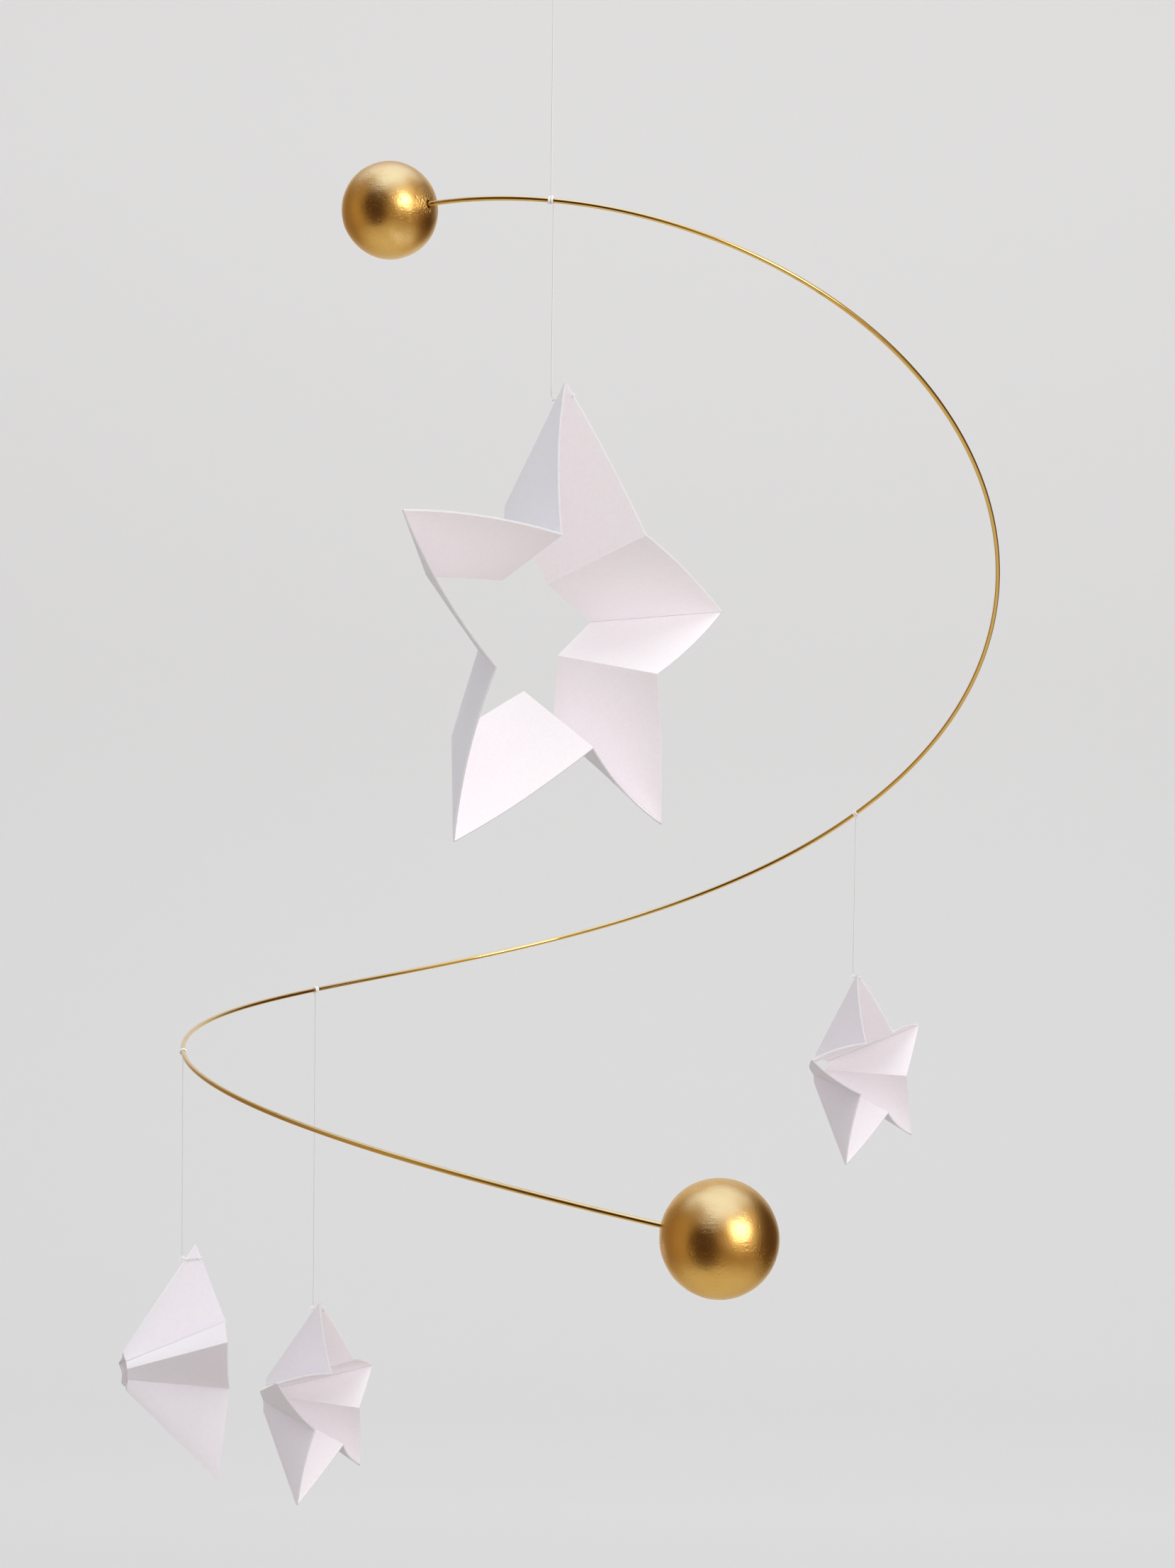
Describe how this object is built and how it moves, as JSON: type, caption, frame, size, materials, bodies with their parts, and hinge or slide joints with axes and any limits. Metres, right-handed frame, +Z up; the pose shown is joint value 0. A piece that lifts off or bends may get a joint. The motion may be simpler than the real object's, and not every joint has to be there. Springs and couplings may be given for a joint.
{
  "type": "hanging mobile sculpture",
  "caption": "Hanging mobile: a polished brass rod bent into a falling spiral, a gold painted ball on each end, with folded white paper stars hanging from it on threads.",
  "frame": {"origin": "top of the hanging loop, where the mobile hangs from a hook", "axes": "+Z up along the hanging thread, -Y towards the viewer of the front, +X to that viewer's right"},
  "size_m": [0.284, 0.3786, 0.5209],
  "materials": {
    "brass": "polished bright brass with a clear lacquer and a few small blemishes",
    "gold_paint": "turned wood brushed with satin metallic gold paint",
    "paper": "matt white heavy drawing paper, cut and folded by hand",
    "thread": "twisted white cotton thread"
  },
  "bodies": {
    "hanger": {"hanging_loop": "thread", "hanging_thread": "thread"},
    "arm": {"spiral_wire": "brass", "upper_ball": "gold_paint", "lower_ball": "gold_paint", "main_tie": "thread", "right_tie": "thread", "middle_tie": "thread", "left_tie": "thread"},
    "large_star_body": {"large_star_thread": "thread", "large_star_knot": "thread", "large_star": "paper"},
    "right_star_body": {"right_star_thread": "thread", "right_star_knot": "thread", "right_star": "paper"},
    "middle_star_body": {"middle_star_thread": "thread", "middle_star_knot": "thread", "middle_star": "paper"},
    "left_star_body": {"left_star_thread": "thread", "left_star_knot": "thread", "left_star": "paper"}
  },
  "joints": [
    {"name": "arm_turn", "type": "hinge", "parent": "hanger", "child": "arm", "pos_m": [0, 0, -0.0764], "axis": [0, 0, 1], "continuous": true},
    {"name": "large_star_turn", "type": "hinge", "parent": "arm", "child": "large_star_body", "pos_m": [0.0008, -0.0002, -0.0781], "axis": [0, 0, 1], "continuous": true},
    {"name": "right_star_turn", "type": "hinge", "parent": "arm", "child": "right_star_body", "pos_m": [0.1141, 0.1833, -0.2737], "axis": [0, 0, 1], "continuous": true},
    {"name": "middle_star_turn", "type": "hinge", "parent": "arm", "child": "middle_star_body", "pos_m": [-0.0846, 0.1448, -0.3377], "axis": [0, 0, 1], "continuous": true},
    {"name": "left_star_turn", "type": "hinge", "parent": "arm", "child": "left_star_body", "pos_m": [-0.1114, 0.0087, -0.3396], "axis": [0, 0, 1], "continuous": true}
  ]
}
